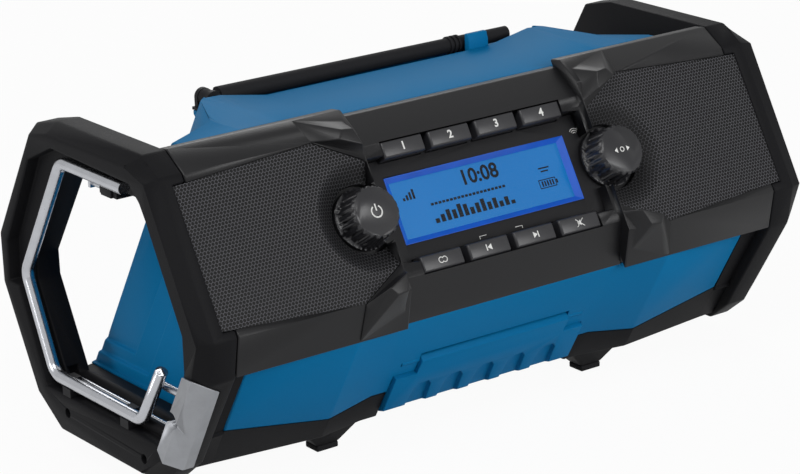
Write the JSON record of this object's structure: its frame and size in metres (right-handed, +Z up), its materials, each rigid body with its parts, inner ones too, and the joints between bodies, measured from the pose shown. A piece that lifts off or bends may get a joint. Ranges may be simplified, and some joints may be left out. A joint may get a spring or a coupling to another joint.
{
  "type": "jobsite radio",
  "caption": "Rugged jobsite radio: faceted housing between two loop handles, leaning front with speakers, screen, keys and knobs, folding aerial, hook, socket flap and slide-out battery.",
  "frame": {"origin": "on the ground under the middle of the radio", "axes": "+X to the radio's right seen from the front, -Y towards the front, +Z up"},
  "size_m": [0.3546, 0.1886, 0.1651],
  "materials": {
    "blue_shell": "fine spark texture, mid blue",
    "black_body": "coarse grained black plastic",
    "black_front": "fine grained charcoal plastic",
    "panel_black": "smooth dark plastic",
    "key_black": "smooth black with printed symbols",
    "knob_black": "ribbed black",
    "grille_black": "perforated sheet, black paint",
    "screen_surround": "deep blue, lit from behind",
    "lens_clear": "clear window",
    "lcd_blue": "lit blue screen",
    "pad_rubber": "matt rubber",
    "hook_steel": "zinc plated bent rod",
    "corner_steel": "pressed steel with a matt nickel finish",
    "saddle_plastic": "moulded black",
    "screw_steel": "plated screws",
    "aerial_rubber": "ribbed rubber sleeve",
    "yoke_plastic": "moulded black",
    "pin_steel": "turned pin",
    "shaft_steel": "turned shaft",
    "encoder_case": "moulded black",
    "board_green": "green solder mask",
    "switch_black": "moulded black",
    "basket_steel": "pressed steel",
    "cone_paper": "dark paper cone",
    "magnet_ferrite": "ferrite",
    "tray_black": "moulded black",
    "socket_black": "moulded black",
    "pack_black": "moulded black",
    "release_blue": "smooth blue",
    "terminal_grey": "moulded grey",
    "blade_brass": "plated blades",
    "sink_alloy": "extruded"
  },
  "bodies": {
    "housing": {"main_housing": "blue_shell", "rear_cover": "blue_shell", "base_frame": "black_body", "base_screws": "screw_steel", "foot_pads": "pad_rubber", "end_ring_left": "black_body", "end_ring_right": "black_body", "loop_screws": "screw_steel", "front_frame": "black_front", "control_panel": "panel_black", "display_surround": "screen_surround", "display_lens": "lens_clear", "lcd_module": "lcd_blue", "volume_encoder": "encoder_case", "tune_encoder": "encoder_case", "keypad_board": "board_green", "key_switches": "switch_black", "speaker_grille_left": "grille_black", "speaker_grille_right": "grille_black", "speaker_basket_left": "basket_steel", "speaker_basket_right": "basket_steel", "speaker_cone_left": "cone_paper", "speaker_cone_right": "cone_paper", "speaker_magnet_left": "magnet_ferrite", "speaker_magnet_right": "magnet_ferrite", "hook_saddles": "saddle_plastic", "hook_guide_bar": "hook_steel", "hook_stop_pin": "hook_steel", "steel_corner": "corner_steel", "hook_clip": "saddle_plastic", "hook_clip_spring": "hook_steel", "aerial_yoke": "yoke_plastic", "aerial_pin": "pin_steel", "aerial_clip": "blue_shell", "flap_hinge_pin": "pin_steel", "socket_tray": "tray_black", "sockets": "socket_black", "battery_bay": "tray_black", "terminal_block": "terminal_grey", "terminal_blades": "blade_brass", "main_board": "board_green", "amplifier_heat_sink": "sink_alloy", "rear_screws": "screw_steel"},
    "volume_stem": {"volume_shaft": "shaft_steel"},
    "volume_dial": {"volume_knob": "knob_black"},
    "tune_stem": {"tune_shaft": "shaft_steel"},
    "tune_dial": {"tune_knob": "knob_black"},
    "preset_button_1": {"preset_button_1": "key_black"},
    "preset_button_2": {"preset_button_2": "key_black"},
    "preset_button_3": {"preset_button_3": "key_black"},
    "preset_button_4": {"preset_button_4": "key_black"},
    "link_button": {"link_button": "key_black"},
    "previous_button": {"previous_button": "key_black"},
    "next_button": {"next_button": "key_black"},
    "mute_button": {"mute_button": "key_black"},
    "aerial": {"aerial_rod": "aerial_rubber"},
    "hook": {"hanging_hook": "hook_steel"},
    "flap": {"socket_flap": "blue_shell"},
    "pack": {"battery_pack": "pack_black"},
    "pack_release": {"battery_release": "release_blue"}
  },
  "joints": [
    {"name": "volume_push", "type": "slide", "parent": "housing", "child": "volume_stem", "axis": [0, 0.866, -0.5], "range_m": [0, 0.001], "stiffness_N_per_m": 800, "springref_m": -0.0015},
    {"name": "volume_turn", "type": "hinge", "parent": "volume_stem", "child": "volume_dial", "pos_m": [-0.0718, -0.067, 0.121], "axis": [0, -0.866, 0.5], "continuous": true},
    {"name": "tune_push", "type": "slide", "parent": "housing", "child": "tune_stem", "axis": [0, 0.866, -0.5], "range_m": [0, 0.001], "stiffness_N_per_m": 800, "springref_m": -0.0015},
    {"name": "tune_turn", "type": "hinge", "parent": "tune_stem", "child": "tune_dial", "pos_m": [0.0718, -0.067, 0.121], "axis": [0, -0.866, 0.5], "continuous": true},
    {"name": "preset_button_1_press", "type": "slide", "parent": "housing", "child": "preset_button_1", "axis": [0, 0.866, -0.5], "range_m": [0, 0.0012], "stiffness_N_per_m": 500, "springref_m": -0.0015},
    {"name": "preset_button_2_press", "type": "slide", "parent": "housing", "child": "preset_button_2", "axis": [0, 0.866, -0.5], "range_m": [0, 0.0012], "stiffness_N_per_m": 500, "springref_m": -0.0015},
    {"name": "preset_button_3_press", "type": "slide", "parent": "housing", "child": "preset_button_3", "axis": [0, 0.866, -0.5], "range_m": [0, 0.0012], "stiffness_N_per_m": 500, "springref_m": -0.0015},
    {"name": "preset_button_4_press", "type": "slide", "parent": "housing", "child": "preset_button_4", "axis": [0, 0.866, -0.5], "range_m": [0, 0.0012], "stiffness_N_per_m": 500, "springref_m": -0.0015},
    {"name": "link_button_press", "type": "slide", "parent": "housing", "child": "link_button", "axis": [0, 0.866, -0.5], "range_m": [0, 0.0012], "stiffness_N_per_m": 500, "springref_m": -0.0015},
    {"name": "previous_button_press", "type": "slide", "parent": "housing", "child": "previous_button", "axis": [0, 0.866, -0.5], "range_m": [0, 0.0012], "stiffness_N_per_m": 500, "springref_m": -0.0015},
    {"name": "next_button_press", "type": "slide", "parent": "housing", "child": "next_button", "axis": [0, 0.866, -0.5], "range_m": [0, 0.0012], "stiffness_N_per_m": 500, "springref_m": -0.0015},
    {"name": "mute_button_press", "type": "slide", "parent": "housing", "child": "mute_button", "axis": [0, 0.866, -0.5], "range_m": [0, 0.0012], "stiffness_N_per_m": 500, "springref_m": -0.0015},
    {"name": "aerial_fold", "type": "hinge", "parent": "housing", "child": "aerial", "pos_m": [-0.092, 0.033, 0.1595], "axis": [0, -1, 0], "range_deg": [0, 90]},
    {"name": "hook_fold", "type": "hinge", "parent": "housing", "child": "hook", "pos_m": [-0.174, 0, 0.037], "axis": [0, -1, 0], "range_deg": [0, 100]},
    {"name": "flap_open", "type": "hinge", "parent": "housing", "child": "flap", "pos_m": [0, -0.06009, 0.04391], "axis": [-1, 0, 0], "range_deg": [0, 100]},
    {"name": "pack_slide", "type": "slide", "parent": "housing", "child": "pack", "axis": [0, 1, 0], "range_m": [0, 0.115]},
    {"name": "release_press", "type": "slide", "parent": "pack", "child": "pack_release", "axis": [0, -1, 0], "range_m": [0, 0.002], "stiffness_N_per_m": 500, "springref_m": -0.0015}
  ]
}
